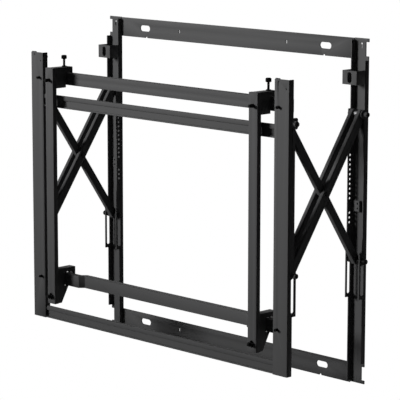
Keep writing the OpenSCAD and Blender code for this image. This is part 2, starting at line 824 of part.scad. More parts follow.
hanging_bar_top();
hanging_bar_bottom();
depth_nuts();
depth_stud(-1, top_bar_z, 0);  // depth_stud_top_left
depth_stud(1, top_bar_z, 0);  // depth_stud_top_right
depth_stud(-1, low_bar_z, joggle);  // depth_stud_bottom_left
depth_stud(1, low_bar_z, joggle);  // depth_stud_bottom_right
display_channel(-1);  // display_channel_left
display_channel(1);  // display_channel_right
top_hook(-1);  // top_hook_left
top_hook(1);  // top_hook_right
lower_hook(-1);  // lower_hook_left
lower_hook(1);  // lower_hook_right
press_nut(-1);  // press_nut_left
press_nut(1);  // press_nut_right
display_screws(-1);  // display_screws_left
display_screws(1);  // display_screws_right
lock_nut(-1);  // lock_nut_left
lock_nut(1);  // lock_nut_right
thumb_screw(-1);  // thumb_screw_left
thumb_screw(1);  // thumb_screw_right
screw_foot(-1);  // screw_foot_left
screw_foot(1);  // screw_foot_right
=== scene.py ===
# %% [markdown]
# # A pull-out wall mount for one screen of a video wall
# The mount is folded steel sheet under a fine black powder coat, joined by plain pins. A slotted
# frame sits on the wall, two pairs of scissor arms push a second frame straight out from it, and
# two brackets for the screen hang on that frame's bars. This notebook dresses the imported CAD
# solids: it rounds every fold, turns the pins, cuts the threads and lights the result as a
# product photograph is lit. All lengths are in metres, X across the wall, Y into it and Z up.

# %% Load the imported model
import json
import math

import bmesh
import bpy
from mathutils import Matrix, Vector
from mathutils.bvhtree import BVHTree


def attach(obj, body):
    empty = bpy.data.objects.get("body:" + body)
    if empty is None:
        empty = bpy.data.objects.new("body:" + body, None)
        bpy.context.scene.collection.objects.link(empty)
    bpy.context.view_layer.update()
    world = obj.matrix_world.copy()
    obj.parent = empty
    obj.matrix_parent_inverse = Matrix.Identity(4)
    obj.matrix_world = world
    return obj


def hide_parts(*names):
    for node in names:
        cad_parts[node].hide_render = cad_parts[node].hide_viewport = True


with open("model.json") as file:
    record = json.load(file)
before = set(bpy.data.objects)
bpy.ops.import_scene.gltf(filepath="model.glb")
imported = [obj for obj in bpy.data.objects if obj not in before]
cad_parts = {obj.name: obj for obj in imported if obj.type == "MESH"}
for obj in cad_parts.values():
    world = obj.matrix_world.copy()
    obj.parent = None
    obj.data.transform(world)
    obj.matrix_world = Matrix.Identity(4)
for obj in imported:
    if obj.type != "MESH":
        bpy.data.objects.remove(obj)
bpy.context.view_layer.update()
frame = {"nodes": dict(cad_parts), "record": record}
scene = bpy.context.scene
bodies = frame["record"]["behaviour"]["bodies"]
body_of = {node: body for body, nodes in bodies.items() for node in nodes}

# %% [markdown]
# ## Camera
# The photograph was taken from the right of the mount and a little above it, through a long lens,
# so parallel edges stay almost parallel. A camera could be aimed at the object with a constraint,
# but its angles are known here, so its three axes are written straight into a matrix.

# %% Camera
VIEW_AZIMUTH = math.radians(45.76)
VIEW_ELEVATION = math.radians(9.74)
VIEW_ROLL = math.radians(0.06)
VIEW_PLACE = (2.6086, -2.6201, 0.61825)
LENS_MM, SENSOR_MM = 186.5, 36

back = Vector((math.sin(VIEW_AZIMUTH) * math.cos(VIEW_ELEVATION),
               -math.cos(VIEW_AZIMUTH) * math.cos(VIEW_ELEVATION), math.sin(VIEW_ELEVATION)))
right = Vector((math.cos(VIEW_AZIMUTH), math.sin(VIEW_AZIMUTH), 0))
axes = Matrix((right, back.cross(right), back)).transposed()
camera_data = bpy.data.cameras.new("camera")
camera_data.lens = LENS_MM
camera_data.sensor_width = SENSOR_MM
camera_data.clip_end = 60
camera = bpy.data.objects.new("camera", camera_data)
scene.collection.objects.link(camera)
camera.matrix_world = (Matrix.Translation(VIEW_PLACE) @ axes.to_4x4()
                       @ Matrix.Rotation(VIEW_ROLL, 4, "Z"))
scene.camera = camera
print("camera at", [round(v, 3) for v in camera.matrix_world.translation])

# %% [markdown]
# ## Studio light
# The photograph has one light at the front left, above the mount, and hardly any fill: the faces
# turned right are almost black, and light falls through the rows of holes as small spots. So the
# lamp is a box 1.2 m wide, and a bigger one would wash the spots out. The light fades towards
# the mount's lower end. A gradient on the world could do that, but a lamp keeps the shadows, and
# a grid in front of it, which is what an area lamp's spread stands for, gives the fade. The world
# is white only for the eye and for reflections, and dim as a light.

# %% Lamp and world
FILL = (0.02, 0.0205, 0.021, 1)         # what a surface gathers from all sides


def area_light(name, azimuth, elevation, distance, size, level, aim, spread):
    """A square lamp. With a full spread, level 1 renders a facing colour as it is written."""
    data = bpy.data.lights.new(name, "AREA")
    data.shape = "SQUARE"
    data.size = size
    data.spread = math.radians(spread)
    data.energy = level * (math.pi * distance) ** 2
    lamp = bpy.data.objects.new(name, data)
    scene.collection.objects.link(lamp)
    a, e = math.radians(azimuth), math.radians(elevation)
    way = Vector((math.sin(a) * math.cos(e), -math.cos(a) * math.cos(e), math.sin(e)))
    lamp.location = distance * way
    lamp.rotation_euler = (lamp.location - Vector(aim)).to_track_quat("Z", "Y").to_euler()


area_light("key_light", azimuth=-37, elevation=17, distance=5, size=1.2, level=0.0755,
           aim=(0.1, -0.1, 0.66), spread=41)

scene.view_settings.view_transform = "Standard"


def seen_directly(tree):
    """1 for the camera's own rays, reflections and glass, 0 for light that a surface gathers."""
    path = tree.nodes.new("ShaderNodeLightPath")
    total = None
    for ray in ("Is Camera Ray", "Is Glossy Ray", "Is Transmission Ray"):
        if total is None:
            total = path.outputs[ray]
            continue
        add = tree.nodes.new("ShaderNodeMath")
        add.operation = "ADD"
        add.use_clamp = True
        tree.links.new(total, add.inputs[0])
        tree.links.new(path.outputs[ray], add.inputs[1])
        total = add.outputs[0]
    return total


world = bpy.data.worlds.new("studio")
scene.world = world
world.use_nodes = True
tree = world.node_tree
background = tree.nodes["Background"]
mix = tree.nodes.new("ShaderNodeMix")
mix.data_type = "RGBA"
mix.inputs["A"].default_value = FILL
mix.inputs["B"].default_value = (1, 1, 1, 1)
tree.links.new(seen_directly(tree), mix.inputs["Factor"])
tree.links.new(mix.outputs["Result"], background.inputs["Color"])
print("world white for", "camera and reflections")

# %% [markdown]
# ## Floor
# The mount hangs on a wall, so the floor lies well below it and only takes its shadow. A plain
# plane would show an edge against the white world. Here the floor's paint turns into the plain
# white of the background away from the mount, which hides that edge from every side.

# %% Floor
FLOOR_Z = -1.25
FLOOR_RADIUS = 9.0
FADE = {"From Min": 1.5, "From Max": 3.2, "To Min": 0.6, "To Max": 1.0}

mesh = bpy.data.meshes.new("floor")
bm = bmesh.new()
bmesh.ops.create_circle(bm, cap_ends=True, segments=64, radius=FLOOR_RADIUS)
bmesh.ops.translate(bm, verts=bm.verts, vec=(0, 0, FLOOR_Z))
bm.to_mesh(mesh)
bm.free()
floor = bpy.data.objects.new("floor", mesh)
scene.collection.objects.link(floor)

paint = bpy.data.materials.new("floor_paint")
paint.use_nodes = True
tree = paint.node_tree
tree.nodes.clear()
matt = tree.nodes.new("ShaderNodeBsdfDiffuse")
matt.inputs["Color"].default_value = (0.85, 0.85, 0.85, 1)
white = tree.nodes.new("ShaderNodeEmission")
coord = tree.nodes.new("ShaderNodeTexCoord")
length = tree.nodes.new("ShaderNodeVectorMath")
length.operation = "LENGTH"
fade = tree.nodes.new("ShaderNodeMapRange")
fade.interpolation_type = "SMOOTHSTEP"
for name, value in FADE.items():
    fade.inputs[name].default_value = value
factor = tree.nodes.new("ShaderNodeMath")
factor.operation = "MULTIPLY"
blend = tree.nodes.new("ShaderNodeMixShader")
out = tree.nodes.new("ShaderNodeOutputMaterial")
tree.links.new(coord.outputs["Object"], length.inputs[0])
tree.links.new(length.outputs["Value"], fade.inputs["Value"])
tree.links.new(fade.outputs["Result"], factor.inputs[0])
tree.links.new(seen_directly(tree), factor.inputs[1])
tree.links.new(factor.outputs[0], blend.inputs["Fac"])
tree.links.new(matt.outputs[0], blend.inputs[1])
tree.links.new(white.outputs[0], blend.inputs[2])
tree.links.new(blend.outputs[0], out.inputs["Surface"])
mesh.materials.append(paint)
print("floor at", FLOOR_Z)

# %% [markdown]
# ## Finishes
# Powder coat is paint baked on as dust: it dries to a fine pebbled skin that is a little thinner,
# and so a little smoother, along every edge. The rounded edges are also painted paler: a painted
# highlight for the light they catch. An image could carry the grain, but noise in object
# coordinates needs no unwrapping and keeps one grain size on every piece. Two groups hold what the
# finishes share: the grain, and the painted highlight along the rounded edges, which reads an
# attribute that the mesh code writes on those edges.

# %% Shared groups
# the edge line is the painted edge highlight; only its roughness change is the coat's own
EDGE_SMOOTHING = -0.12          # the roughness is this much lower where the edge line is full


def group_socket(group, name, kind, side, value=None):
    socket = group.interface.new_socket(name, in_out=side, socket_type=kind)
    if value is not None:
        socket.default_value = value


def grain_group():
    """Pebbles of a set size for a bump, and slow patches for colour and roughness."""
    group = bpy.data.node_groups.new("coat_grain", "ShaderNodeTree")
    group_socket(group, "Pebble size", "NodeSocketFloat", "INPUT", 0.0006)
    group_socket(group, "Patch size", "NodeSocketFloat", "INPUT", 0.04)
    group_socket(group, "Height", "NodeSocketFloat", "OUTPUT")
    group_socket(group, "Patches", "NodeSocketFloat", "OUTPUT")
    nodes, links = group.nodes, group.links
    given, put = nodes.new("NodeGroupInput"), nodes.new("NodeGroupOutput")
    coord = nodes.new("ShaderNodeTexCoord")
    for size, result, detail in (("Pebble size", "Height", 2.0), ("Patch size", "Patches", 3.0)):
        scale = nodes.new("ShaderNodeMath")
        scale.operation = "DIVIDE"
        scale.inputs[0].default_value = 1.0
        links.new(given.outputs[size], scale.inputs[1])
        noise = nodes.new("ShaderNodeTexNoise")
        noise.inputs["Detail"].default_value = detail
        links.new(coord.outputs["Object"], noise.inputs["Vector"])
        links.new(scale.outputs[0], noise.inputs["Scale"])
        links.new(noise.outputs["Fac"], put.inputs[result])
    return group


def edge_highlight_group():
    """Takes a colour and a roughness, and shifts both along the rounded edges; the paler colour
    there is a painted highlight.
    """
    group = bpy.data.node_groups.new("painted_edge_highlight", "ShaderNodeTree")
    group_socket(group, "Base", "NodeSocketColor", "INPUT", (0.1, 0.1, 0.1, 1))
    group_socket(group, "Edge", "NodeSocketColor", "INPUT", (0.2, 0.2, 0.2, 1))
    group_socket(group, "Patches", "NodeSocketFloat", "INPUT", 0.5)
    group_socket(group, "Strength", "NodeSocketFloat", "INPUT", 0.5)
    group_socket(group, "Roughness", "NodeSocketFloat", "INPUT", 0.5)
    group_socket(group, "Color", "NodeSocketColor", "OUTPUT")
    group_socket(group, "Roughness", "NodeSocketFloat", "OUTPUT")
    nodes, links = group.nodes, group.links
    given, put = nodes.new("NodeGroupInput"), nodes.new("NodeGroupOutput")
    # the mask of the painted highlight: 1 on the bevel faces
    painted_highlight = nodes.new("ShaderNodeAttribute")
    painted_highlight.attribute_name = "edge"
    strength = nodes.new("ShaderNodeMath")
    strength.operation = "MULTIPLY"
    links.new(painted_highlight.outputs["Fac"], strength.inputs[0])
    links.new(given.outputs["Strength"], strength.inputs[1])
    broken = nodes.new("ShaderNodeMath")
    broken.operation = "MULTIPLY"
    links.new(strength.outputs[0], broken.inputs[0])
    links.new(given.outputs["Patches"], broken.inputs[1])
    mix = nodes.new("ShaderNodeMix")
    mix.data_type = "RGBA"
    links.new(broken.outputs[0], mix.inputs["Factor"])
    links.new(given.outputs["Base"], mix.inputs["A"])
    links.new(given.outputs["Edge"], mix.inputs["B"])
    tone = nodes.new("ShaderNodeMapRange")
    for name, value in (("From Min", 0.3), ("From Max", 0.7),
                        ("To Min", 0.985), ("To Max", 1.015)):
        tone.inputs[name].default_value = value
    links.new(given.outputs["Patches"], tone.inputs["Value"])
    toned = nodes.new("ShaderNodeMix")
    toned.data_type = "RGBA"
    toned.blend_type = "MULTIPLY"
    toned.inputs["Factor"].default_value = 1.0
    links.new(mix.outputs["Result"], toned.inputs["A"])
    links.new(tone.outputs["Result"], toned.inputs["B"])
    links.new(toned.outputs["Result"], put.inputs["Color"])
    smoother = nodes.new("ShaderNodeMath")
    smoother.operation = "MULTIPLY_ADD"
    smoother.inputs[1].default_value = EDGE_SMOOTHING
    links.new(broken.outputs[0], smoother.inputs[0])
    links.new(given.outputs["Roughness"], smoother.inputs[2])
    uneven = nodes.new("ShaderNodeMath")
    uneven.operation = "MULTIPLY"
    links.new(smoother.outputs[0], uneven.inputs[0])
    links.new(tone.outputs["Result"], uneven.inputs[1])
    links.new(uneven.outputs[0], put.inputs["Roughness"])
    return group


COAT_GRAIN = grain_group()
EDGE_HIGHLIGHT = edge_highlight_group()
print("groups", COAT_GRAIN.name, EDGE_HIGHLIGHT.name)

# %% [markdown]
# Four finishes cover the mount: the powder coat on all folded sheet, the rear pivot bolts and the
# front slide pins, bright zinc on the outer arms' sleeves and the front pivots' collars, moulded
# nylon on the thumb screws' feet, and a darker oily black on every other pin, sleeve, screw and
# nut. Each keeps its own shader, because plain numbers such as the specular level sit on it.

# %% Finishes
# how strongly the painted highlight along the rounded edges shows
HIGHLIGHT_STRENGTH = 0.6


def finish(name, base, edge, roughness, pebble, patch, bump, depth, specular, metallic=0.0):
    material = bpy.data.materials.new(name)
    material.use_nodes = True
    nodes, links = material.node_tree.nodes, material.node_tree.links
    shader = nodes["Principled BSDF"]
    shader.inputs["Metallic"].default_value = metallic
    shader.inputs["Specular IOR Level"].default_value = specular
    grain = nodes.new("ShaderNodeGroup")
    grain.node_tree = COAT_GRAIN
    grain.inputs["Pebble size"].default_value = pebble
    grain.inputs["Patch size"].default_value = patch
    # paints a highlight along the rounded edges, with the edge colour
    painted_highlight = nodes.new("ShaderNodeGroup")
    painted_highlight.node_tree = EDGE_HIGHLIGHT
    painted_highlight.inputs["Base"].default_value = (*base, 1)
    painted_highlight.inputs["Edge"].default_value = (*edge, 1)
    painted_highlight.inputs["Strength"].default_value = HIGHLIGHT_STRENGTH
    painted_highlight.inputs["Roughness"].default_value = roughness
    links.new(grain.outputs["Patches"], painted_highlight.inputs["Patches"])
    links.new(painted_highlight.outputs["Color"], shader.inputs["Base Color"])
    links.new(painted_highlight.outputs["Roughness"], shader.inputs["Roughness"])
    relief = nodes.new("ShaderNodeBump")
    relief.inputs["Strength"].default_value = bump
    relief.inputs["Distance"].default_value = depth
    links.new(grain.outputs["Height"], relief.inputs["Height"])
    links.new(relief.outputs["Normal"], shader.inputs["Normal"])
    return material


# each edge colour is paler than its base: a painted highlight for the rounded edges
POWDER = finish("powder_coat", base=(0.088, 0.088, 0.089), edge=(0.11, 0.11, 0.111), roughness=0.6,
                pebble=0.0007, patch=0.05, bump=0.35, depth=0.0001, specular=0.03)
STEEL = finish("black_steel", base=(0.006, 0.006, 0.0062), edge=(0.015, 0.015, 0.015),
               roughness=0.45, pebble=0.0004, patch=0.012, bump=0.15, depth=0.00005, specular=0.03)
NYLON = finish("nylon", base=(0.02, 0.02, 0.021), edge=(0.035, 0.035, 0.036), roughness=0.5,
               pebble=0.0005, patch=0.01, bump=0.2, depth=0.00005, specular=0.2)
ZINC = finish("bright_zinc", base=(0.15, 0.15, 0.153), edge=(0.2, 0.2, 0.203), roughness=0.5,
              pebble=0.0004, patch=0.012, bump=0.1, depth=0.00005, specular=0.5, metallic=1.0)
print("finishes", [m.name for m in (POWDER, STEEL, NYLON, ZINC)])

# %% [markdown]
# ## Rounded sheet metal
# A press brake leaves every fold round and every cut edge a hair blunt. The CAD solids have them
# sharp. They could be modelled again from profiles, but the solids are already exact, so each is
# copied and bevelled instead: wide along the folds, narrow along the cuts. A fold is told from a
# cut by walking in from the edge on both of its faces: past a cut edge one of the faces has ended,
# because it's only as wide as the sheet is thick.

# %% Bevelled copies
SHEET = 0.002
FOLD_ROUND = 0.0008
CROSS_FOLD_ROUND = 0.001
CUT_ROUND = 0.00028
ROUND_STEPS = 3
CORNER = math.radians(25)       # edges sharper than this are corners, softer ones are curved walls
FLAT = math.radians(0.5)        # faces closer in direction than this become one
MERGE = 1e-6
PROBE = SHEET * 1.3             # how far from an edge a fold's faces must still be there
ON_SURFACE = 2e-5


def merged_copy(node):
    bm = bmesh.new()
    bm.from_mesh(frame["nodes"][node].data)
    bmesh.ops.remove_doubles(bm, verts=bm.verts, dist=MERGE)
    bmesh.ops.dissolve_limit(bm, angle_limit=FLAT, verts=bm.verts, edges=bm.edges)
    return bm


def is_fold(edge, surface):
    """True if both faces of the edge run on for more than the sheet's thickness."""
    middle = (edge.verts[0].co + edge.verts[1].co) / 2
    along = (edge.verts[1].co - edge.verts[0].co).normalized()
    for face in edge.link_faces:
        inward = face.normal.cross(along)
        probes = [middle + s * inward * PROBE for s in (-1, 1)]
        if not any(surface.find_nearest(p)[3] < ON_SURFACE for p in probes):
            return False
    return True


def rounded(node, name, fold=FOLD_ROUND, cut=CUT_ROUND, material=POWDER):
    """A bevelled copy of a CAD node, riding on its body and standing for it."""
    bm = merged_copy(node)
    surface = BVHTree.FromBMesh(bm)
    weights = bm.edges.layers.float.new("bevel_weight_edge")
    folds = 0
    for edge in bm.edges:
        if len(edge.link_faces) == 2 and edge.calc_face_angle() > CORNER:
            folded = fold > cut and edge.is_convex and is_fold(edge, surface)
            edge[weights] = 1.0 if folded else cut / max(fold, cut)
            folds += folded
    mesh = bpy.data.meshes.new(name)
    bm.to_mesh(mesh)
    bm.free()
    mesh.materials.append(material)
    source = bpy.data.objects.new(name, mesh)
    scene.collection.objects.link(source)
    bevel = source.modifiers.new("rounding", "BEVEL")
    bevel.limit_method = "WEIGHT"
    bevel.width = max(fold, cut)
    bevel.segments = ROUND_STEPS
    bevel.use_clamp_overlap = False
    bevel.harden_normals = True
    bevel.material = 1
    mesh.shade_smooth()
    piece = baked(source)
    for polygon in piece.data.polygons:
        polygon.material_index = min(polygon.material_index, 1)
    mark_edges(piece.data)
    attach(piece, body_of[node])
    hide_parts(node)
    print(name, "folds", folds, "faces", len(piece.data.polygons))


def baked(obj):
    """The object with its modifiers turned into a plain mesh."""
    bpy.context.view_layer.update()
    graph = bpy.context.evaluated_depsgraph_get()
    mesh = bpy.data.meshes.new_from_object(obj.evaluated_get(graph))
    mesh.name = obj.name
    obj.modifiers.clear()
    obj.data = mesh
    return obj


def mark_edges(mesh):
    """Writes 1 on the faces that the bevel made, for the painted edge highlight."""
    painted_highlight = mesh.attributes.new("edge", "FLOAT", "FACE")
    for polygon in mesh.polygons:
        painted_highlight.data[polygon.index].value = float(polygon.material_index == 1)
        polygon.material_index = 0


for side in ("top", "bottom"):
    rounded(f"wall_plate_{side}", f"slotted_plate_{side}")
    rounded(f"cross_bar_{side}", f"pressed_bar_{side}", fold=CROSS_FOLD_ROUND)
    rounded(f"hanging_bar_{side}", f"tube_bar_{side}")
for side in ("left", "right"):
    for node, name in (("wall_rail", "wall_channel"), ("latch_strap", "slotted_strap"),
                       ("anchor_tab", "drilled_tab"), ("outer_arm", "twin_arm"),
                       ("inner_arm", "single_arm"), ("front_rail", "front_channel"),
                       ("display_channel", "bracket_channel"), ("top_hook", "hook_box"),
                       ("lower_hook", "jaw_box")):
        rounded(f"{node}_{side}", f"{name}_{side}")

# %% [markdown]
# ## Turned pieces
# Pivot bolts, slide pins, sleeves and screws come off a lathe, so each is a profile swept round an
# axis. Blender's Screw modifier could sweep it, but hexagon sockets and the star nut aren't
# round. The helpers below take the profile as rings, and each ring says which outline it has.

# %% Lathe
SIDES = 60
RIM_STEPS = 4
SHARP = 38                      # degrees, edges sharper than this aren't shaded smooth
STAR_SHARP = 50
ON_AXIS = 1e-7                  # a ring smaller than this is a point on the axis
STAR_POINTS, STAR_CORE, STAR_REACH, STAR_THINNING = 5, 0.56, 0.44, 1.6
SOCKET_MOUTH, SOCKET_LEAD, SOCKET_CONE = 1.25, 0.0003, 0.4
AXES = {"X": (Vector((1, 0, 0)), Vector((0, 0, 1))), "Y": (Vector((0, 1, 0)), Vector((0, 0, 1))),
        "Z": (Vector((0, 0, 1)), Vector((1, 0, 0)))}


def ring_radius(outline, radius, angle):
    """A round ring, a hexagon with this distance to its flats, or a star with five thin points."""
    if outline == "hexagon":
        return radius / math.cos((angle + math.pi / 6) % (math.pi / 3) - math.pi / 6)
    if outline == "star":
        wave = 0.5 + 0.5 * math.cos(STAR_POINTS * angle)
        return radius * (STAR_CORE + STAR_REACH * wave ** STAR_THINNING)
    return radius


def sweep(bm, origin, axis, rings, closed=False):
    """Joins rings of (distance along the axis, radius, outline) into one skin."""
    along, side = AXES[axis]
    across = along.cross(side)
    loops = []
    for distance, radius, outline in rings:
        centre = Vector(origin) + distance * along
        if radius < ON_AXIS:
            loops.append([bm.verts.new(centre)])
            continue
        loop = []
        for i in range(SIDES):
            angle = 2 * math.pi * i / SIDES
            reach = ring_radius(outline, radius, angle)
            spoke = math.cos(angle) * side + math.sin(angle) * across
            loop.append(bm.verts.new(centre + reach * spoke))
        loops.append(loop)
    if closed:
        loops.append(loops[0])
    for first, second in zip(loops, loops[1:]):
        for i in range(SIDES):
            j = (i + 1) % SIDES
            corners = [first[0]] if len(first) == 1 else [first[i], first[j]]
            corners += [second[0]] if len(second) == 1 else [second[j], second[i]]
            bm.faces.new(corners)


def bar_rings(start, end, radius, soft_start, soft_end, outline="round"):
    """The skin of a bar from start to end, with both rims softened."""
    way = 1 if end > start else -1
    turns = [math.pi / 2 * i / RIM_STEPS for i in range(RIM_STEPS + 1)]
    first = [(start + way * soft_start * (1 - math.sin(t)),
              radius - soft_start * (1 - math.cos(t)), outline) for t in reversed(turns)]
    last = [(end - way * soft_end * (1 - math.sin(t)),
             radius - soft_end * (1 - math.cos(t)), outline) for t in turns]
    return first + last


def solid_bar(bm, origin, axis, start, end, radius, soft_start=0.0002, soft_end=0.0002):
    rings = bar_rings(start, end, radius, soft_start, soft_end)
    sweep(bm, origin, axis, [(start, 0, "round")] + rings + [(end, 0, "round")])


def sleeve(bm, origin, axis, start, end, radius, bore, soft=0.0003, outline="round"):
    rings = bar_rings(start, end, radius, soft, soft, outline)
    sweep(bm, origin, axis, rings + [(end, bore, "round"), (start, bore, "round")], closed=True)


def socket_bar(bm, origin, axis, start, end, radius, flats, deep, soft_start, soft_end):
    """A round bar whose end holds a hexagon socket, this far across from middle to flat."""
    way = 1 if end > start else -1
    rings = bar_rings(start, end, radius, soft_start, soft_end)
    hole = [(end, flats * SOCKET_MOUTH, "round"), (end - way * SOCKET_LEAD, flats, "hexagon"),
            (end - way * deep, flats, "hexagon"),
            (end - way * (deep + flats * SOCKET_CONE), 0, "round")]
    sweep(bm, origin, axis, [(start, 0, "round")] + rings + hole)


def shaped(name, node, bm, material, sharp=SHARP):
    """Turns a finished bmesh into a piece that rides with a CAD node and stands for it."""
    bmesh.ops.recalc_face_normals(bm, faces=bm.faces)
    mesh = bpy.data.meshes.new(name)
    bm.to_mesh(mesh)
    bm.free()
    mesh.materials.append(material)
    mesh.shade_smooth()
    mesh.set_sharp_from_angle(angle=math.radians(sharp))
    piece = bpy.data.objects.new(name, mesh)
    scene.collection.objects.link(piece)
    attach(piece, body_of[node])
    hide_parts(node)
    print(name, "faces", len(mesh.polygons))


print("lathe sides", SIDES)

# %% [markdown]
# The pins' places follow from the scissor's own triangle: the arms are 305 mm between their end
# pivots and hold the front pins 172.5 mm ahead of the rear ones.

# %% Places of the pins
INNER_X, SIDE_X, RAIL_X = 0.2926, 0.325, 0.3088     # a channel's inner side, outer side, middle
REAR_Y, FRONT_Y, PIVOT_Z = -0.011, -0.1835, 0.1708
ARM = 0.305
LOW_Z = PIVOT_Z - math.sqrt(ARM ** 2 - (REAR_Y - FRONT_Y) ** 2)
PIN_R, HEAD_R = 0.0032, 0.0045
FRONT_FACE, FRONT_BACK, FRONT_TOP = -0.1957, -0.1843, 0.2432
TOP_BAR_Z, LOW_BAR_Z, BAR_FRONT, JOGGLE = 0.1973, -0.1736, -0.1755, 0.0083
STUD_X, STUD_R = 0.3023, 0.0026
BRACKET_X, BRACKET_FACE, BRACKET_TOP = 0.258, -0.2103, 0.219
SCREW_HEIGHTS = (-0.2028, 0.1972)
THUMB_Y = -0.1742
SIDE_NAMES = {"left": -1, "right": 1}
print("lower pins at", round(LOW_Z, 5))

# %% [markdown]
# ## Bolts and pins across the channels
# The four pivot bolts and four slide pins share one design: a shank, a low inner head and a tall
# outer head with a rounded crown and a hexagon socket for assembly. Turning both ends in one
# sweep would need a very long ring list, so shank and heads are swept one by one and overlap.

# %% Bolts, pins and sleeves
LOW_HEAD, TALL_HEAD = 0.0016, 0.009
HEAD_FLAT, HEAD_SOCKET = 0.002, 0.0024
PIN_GAP = 0.0003
SLEEVE_R, OUTER_BORE, INNER_BORE = 0.005, PIN_R + 0.0001, 0.0035
OUTER_HALF = 0.005              # an outer sleeve's reach both ways from the channel's middle
INNER_FROM, INNER_TO = 0.0045, 0.0139
CENTRE_HALF, RIVET_FROM, RIVET_TO = 0.0128, 0.0122, 0.0136


def channel_bolt(bm, side, y, z, gap):
    """A bolt or pin across one channel, whose heads stand off from it by the gap."""
    origin = (0, y, z)
    inner, outer = INNER_X - gap, SIDE_X + gap
    solid_bar(bm, origin, "X", side * (inner - 0.0006), side * (outer + 0.001), PIN_R)
    solid_bar(bm, origin, "X", side * (inner - LOW_HEAD), side * inner, HEAD_R, 0.0009, 0.0001)
    socket_bar(bm, origin, "X", side * outer, side * (outer + TALL_HEAD), HEAD_R,
               HEAD_FLAT, HEAD_SOCKET, 0.0002, 0.0015)


for place, y in (("rear", REAR_Y), ("front", FRONT_Y)):
    bm = bmesh.new()
    for side in SIDE_NAMES.values():
        channel_bolt(bm, side, y, PIVOT_Z, 0)
    coat, slot = (POWDER, "powder_coat") if place == "rear" else (STEEL, "black_steel")
    shaped(f"turned_{place}_bolts", f"{place}_pivot_bolts", bm, coat)
for name, side in SIDE_NAMES.items():
    for place, y in (("rear", REAR_Y), ("front", FRONT_Y)):
        bm = bmesh.new()
        channel_bolt(bm, side, y, LOW_Z, PIN_GAP)
        coat, slot = (POWDER, "powder_coat") if place == "front" else (STEEL, "black_steel")
        shaped(f"turned_{place}_pin_{name}", f"{place}_slide_pin_{name}", bm, coat)
    middle = (side * RAIL_X, (REAR_Y + FRONT_Y) / 2, (PIVOT_Z + LOW_Z) / 2)
    bm = bmesh.new()
    solid_bar(bm, middle, "X", -CENTRE_HALF, CENTRE_HALF, PIN_R)
    for end in (-1, 1):
        solid_bar(bm, middle, "X", end * RIVET_FROM, end * RIVET_TO, HEAD_R, 0.0001, 0.0009)
    shaped(f"riveted_pin_{name}", f"center_pivot_{name}", bm, STEEL)
    bm = bmesh.new()
    for y, z in ((REAR_Y, PIVOT_Z), (FRONT_Y, LOW_Z)):
        sleeve(bm, (side * RAIL_X, y, z), "X", -OUTER_HALF, OUTER_HALF, SLEEVE_R, OUTER_BORE)
    shaped(f"outer_sleeves_{name}", f"outer_spacers_{name}", bm, ZINC)
    bm = bmesh.new()
    for y, z in ((FRONT_Y, PIVOT_Z), (REAR_Y, LOW_Z)):
        for end in (-1, 1):
            sleeve(bm, (side * RAIL_X, y, z), "X", end * INNER_FROM, end * INNER_TO,
                   SLEEVE_R, INNER_BORE)
    shaped(f"inner_sleeves_{name}", f"inner_spacers_{name}", bm, STEEL)

# %% [markdown]
# ## Latch studs, depth studs and their nuts
# The latch studs have a flared tip that enters the wall frame's straps when the mount is shut.
# Each depth stud is held in the front channel by its collar and turns in a nut inside the hanging
# bar, so its visible end carries a hexagon socket. Threads come later, as pieces of their own.

# %% Studs and nuts
LATCH_Z, LATCH_TIP, LATCH_R = FRONT_TOP - 0.0097, FRONT_BACK + 0.0122, 0.003
LATCH_FLARE = ((0.003, 0), (0.003, 0.0036), (0.0027, 0.004), (0.0022, 0.0039), (0.0004, 0.0031),
               (0, 0.0026), (0, 0))     # distance behind the tip, radius
NUT_LONG, NUT_FLAT, NUT_BORE = 0.004, 0.0036, 0.00265
STUD_FLAT, STUD_SOCKET, STUD_HEAD = 0.0013, 0.002, 0.006
COLLAR_FROM, COLLAR_TO, COLLAR_R = 0.0022, 0.0037, 0.0045
STUD_TIPS = {"top": -0.1666, "bottom": -0.1749}

bm = bmesh.new()
for side in SIDE_NAMES.values():
    place = (side * RAIL_X, 0, LATCH_Z)
    solid_bar(bm, place, "Y", FRONT_FACE + 0.002, LATCH_TIP - 0.0025, LATCH_R)
    sweep(bm, place, "Y",
          [(LATCH_TIP - behind, radius, "round") for behind, radius in LATCH_FLARE])
shaped("flared_studs", "latch_studs", bm, STEEL)

bm = bmesh.new()
for side in SIDE_NAMES.values():
    for z, forward in ((TOP_BAR_Z, 0), (LOW_BAR_Z, JOGGLE)):
        y = BAR_FRONT + SHEET - forward
        sleeve(bm, (side * STUD_X, y, z), "Y", 0, NUT_LONG, NUT_FLAT, NUT_BORE, 0.0003, "hexagon")
shaped("hexagon_nuts", "depth_nuts", bm, STEEL)

for name, side in SIDE_NAMES.items():
    for level, z in (("top", TOP_BAR_Z), ("bottom", LOW_BAR_Z)):
        bm = bmesh.new()
        place = (side * STUD_X, 0, z)
        solid_bar(bm, place, "Y", FRONT_FACE, STUD_TIPS[level], STUD_R - 0.0004, 0.0001, 0.0005)
        socket_bar(bm, place, "Y", FRONT_FACE + 0.0004, FRONT_FACE - STUD_HEAD, STUD_R - 0.0001,
                   STUD_FLAT, STUD_SOCKET, 0.0002, 0.0003)
        solid_bar(bm, place, "Y", FRONT_FACE + COLLAR_FROM, FRONT_FACE + COLLAR_TO, COLLAR_R,
                  0.0003, 0.0003)
        shaped(f"stud_core_{level}_{name}", f"depth_stud_{level}_{name}", bm, STEEL)

# %% [markdown]
# ## The screws on the display brackets
# Two screws stand out of each bracket for the screen. The lower one carries a star-shaped lock nut
# that is turned by hand, so it has five thin points to grip. The thumb screw pushes on a nylon
# foot that straddles the upper bar, which lifts the whole bracket.

